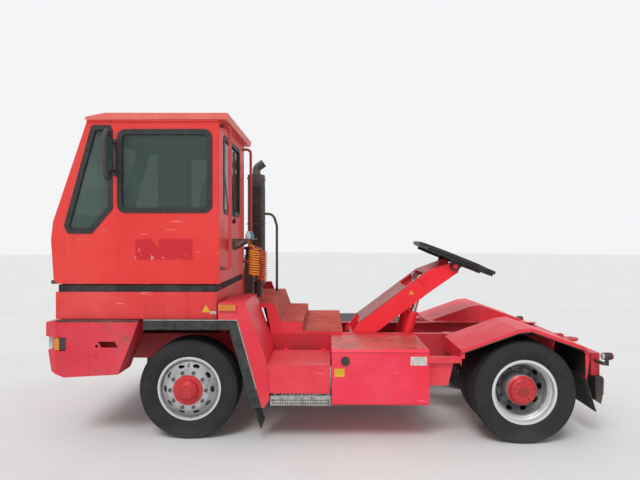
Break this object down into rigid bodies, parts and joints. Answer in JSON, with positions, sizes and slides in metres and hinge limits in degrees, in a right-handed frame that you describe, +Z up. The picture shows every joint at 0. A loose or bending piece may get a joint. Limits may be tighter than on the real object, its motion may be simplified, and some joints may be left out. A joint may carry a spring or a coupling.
{
  "type": "terminal tractor",
  "caption": "Two-axle terminal tractor with an offset one-man cab, a stepped deck and a fifth wheel on a hydraulic lifting boom.",
  "frame": {"origin": "on the ground at the middle of the vehicle's length and width, between the wheels", "axes": "+X forward along the wheelbase, +Y the vehicle's left side, +Z up"},
  "size_m": [5.456, 2.956, 3.0449],
  "materials": {
    "tyre": "worn black rubber",
    "rim_silver": "silver paint, dusty",
    "body_red": "faded red paint",
    "boom_red": "bright red paint",
    "bumper_red": "red paint with rust spots",
    "frame_dark": "dark grey paint, greasy",
    "cast_black": "black, greasy",
    "engine_grey": "grey paint, oily",
    "rubber_black": "grey-black moulded rubber",
    "glass_green": "green tinted glass",
    "amber_lens": "amber lens",
    "clear_lens": "clear ribbed lens",
    "red_lens": "red lens",
    "plastic_black": "black plastic",
    "tread_red": "brown-red anti-slip coating",
    "galvanised": "galvanised steel",
    "rod_chrome": "hard chrome",
    "seat_fabric": "dark woven cloth",
    "stack_grey": "heat-dulled dark grey",
    "coil_yellow": "yellow plastic air coil",
    "coil_red": "red plastic air coil",
    "coil_black": "black cable coil"
  },
  "bodies": {
    "chassis": {"chassis_frame": "frame_dark", "leaf_springs": "cast_black", "front_axle_beam": "cast_black", "rear_axle_housing": "cast_black", "engine_and_gearbox": "engine_grey", "front_bumper": "bumper_red", "amber_lamps": "amber_lens", "clear_lamps": "clear_lens", "red_lamps": "red_lens", "lamp_housings": "plastic_black", "cab_base": "body_red", "cab_gap_band": "rubber_black", "engine_hood": "body_red", "rubber_guards": "rubber_black", "front_fenders": "body_red", "step_box": "body_red", "serrated_step": "galvanised", "side_tank_left": "body_red", "battery_box_and_air_tanks": "plastic_black", "deck_treads": "tread_red", "deck_frame": "body_red", "exhaust_stack": "stack_grey", "rear_mudguard_left": "body_red", "rear_mudguard_right": "body_red"},
    "knuckle_left": {"steering_knuckle_left": "cast_black"},
    "knuckle_right": {"steering_knuckle_right": "cast_black"},
    "tie_rod": {"tie_rod": "cast_black"},
    "front_wheel_left": {"front_tyre_left": "tyre", "front_wheel_left": "rim_silver"},
    "front_wheel_right": {"front_tyre_right": "tyre", "front_wheel_right": "rim_silver"},
    "rear_wheels_left": {"rear_tyres_left": "tyre", "rear_wheels_left": "rim_silver"},
    "rear_wheels_right": {"rear_tyres_right": "tyre", "rear_wheels_right": "rim_silver"},
    "boom": {"boom": "boom_red"},
    "fifth_wheel": {"fifth_wheel_plate": "cast_black"},
    "lift_barrels": {"lift_barrels": "boom_red"},
    "lift_rods": {"lift_rods": "rod_chrome"},
    "cab": {"cab_floor": "body_red", "cab_side_left": "body_red", "cab_side_right": "body_red", "cab_front": "body_red", "cab_rear_wall": "body_red", "cab_roof": "body_red", "cab_seals": "rubber_black", "cab_glass": "glass_green", "seat_base": "plastic_black", "seat_cushions": "seat_fabric", "dashboard": "plastic_black", "steering_wheel": "plastic_black", "mirrors": "plastic_black", "cab_rear_fittings": "plastic_black", "air_coil_yellow": "coil_yellow", "air_coil_red": "coil_red", "electric_coil_black": "coil_black"},
    "cab_door": {"cab_door": "body_red", "cab_door_glass": "glass_green", "cab_door_seal": "rubber_black"}
  },
  "joints": [
    {"name": "steer_left", "type": "hinge", "parent": "chassis", "child": "knuckle_left", "pos_m": [1.392, 0.89, 0.4685], "axis": [0, 0, 1], "range_deg": [-35, 35]},
    {"name": "steer_right", "type": "hinge", "parent": "chassis", "child": "knuckle_right", "pos_m": [1.392, -0.89, 0.4685], "axis": [0, 0, 1], "range_deg": [-35, 35]},
    {"name": "tie_rod_shift", "type": "slide", "parent": "chassis", "child": "tie_rod", "axis": [0, 1, 0], "range_m": [-0.0918, 0.0918]},
    {"name": "front_left_roll", "type": "hinge", "parent": "knuckle_left", "child": "front_wheel_left", "pos_m": [1.392, 1, 0.4685], "axis": [0, 1, 0], "continuous": true},
    {"name": "front_right_roll", "type": "hinge", "parent": "knuckle_right", "child": "front_wheel_right", "pos_m": [1.392, -1, 0.4685], "axis": [0, 1, 0], "continuous": true},
    {"name": "rear_left_roll", "type": "hinge", "parent": "chassis", "child": "rear_wheels_left", "pos_m": [-1.719, 0.915, 0.4685], "axis": [0, 1, 0], "continuous": true},
    {"name": "rear_right_roll", "type": "hinge", "parent": "chassis", "child": "rear_wheels_right", "pos_m": [-1.719, -0.915, 0.4685], "axis": [0, 1, 0], "continuous": true},
    {"name": "boom_lift", "type": "hinge", "parent": "chassis", "child": "boom", "pos_m": [-0.18, 0, 0.8], "axis": [0, 1, 0], "range_deg": [-24, 4]},
    {"name": "fifth_wheel_tilt", "type": "hinge", "parent": "boom", "child": "fifth_wheel", "pos_m": [-1.27523, 0, 1.58149], "axis": [0, 1, 0], "range_deg": [0, 46]},
    {"name": "barrel_swing", "type": "hinge", "parent": "chassis", "child": "lift_barrels", "pos_m": [-0.73, 0, 0.66], "axis": [0, 1, 0], "range_deg": [-28.1, 4.7]},
    {"name": "rod_slide", "type": "slide", "parent": "lift_barrels", "child": "lift_rods", "axis": [-0.2597, 0, 0.9657], "range_m": [-0.2284, 0.0381]},
    {"name": "cab_tilt", "type": "hinge", "parent": "chassis", "child": "cab", "pos_m": [2.585, 0.4, 1.435], "axis": [0, 1, 0], "range_deg": [0, 45]},
    {"name": "door_swing", "type": "hinge", "parent": "cab", "child": "cab_door", "pos_m": [1.852, -0.414, 2.24], "axis": [0, 0, 1], "range_deg": [0, 90]}
  ],
  "couplings": [
    {"joint": "steer_right", "follows": "steer_left", "ratio": 1},
    {"joint": "tie_rod_shift", "follows": "steer_left", "m_per_rad": -0.15},
    {"joint": "barrel_swing", "follows": "boom_lift", "ratio": 1.17},
    {"joint": "rod_slide", "follows": "boom_lift", "m_per_rad": 0.545}
  ]
}
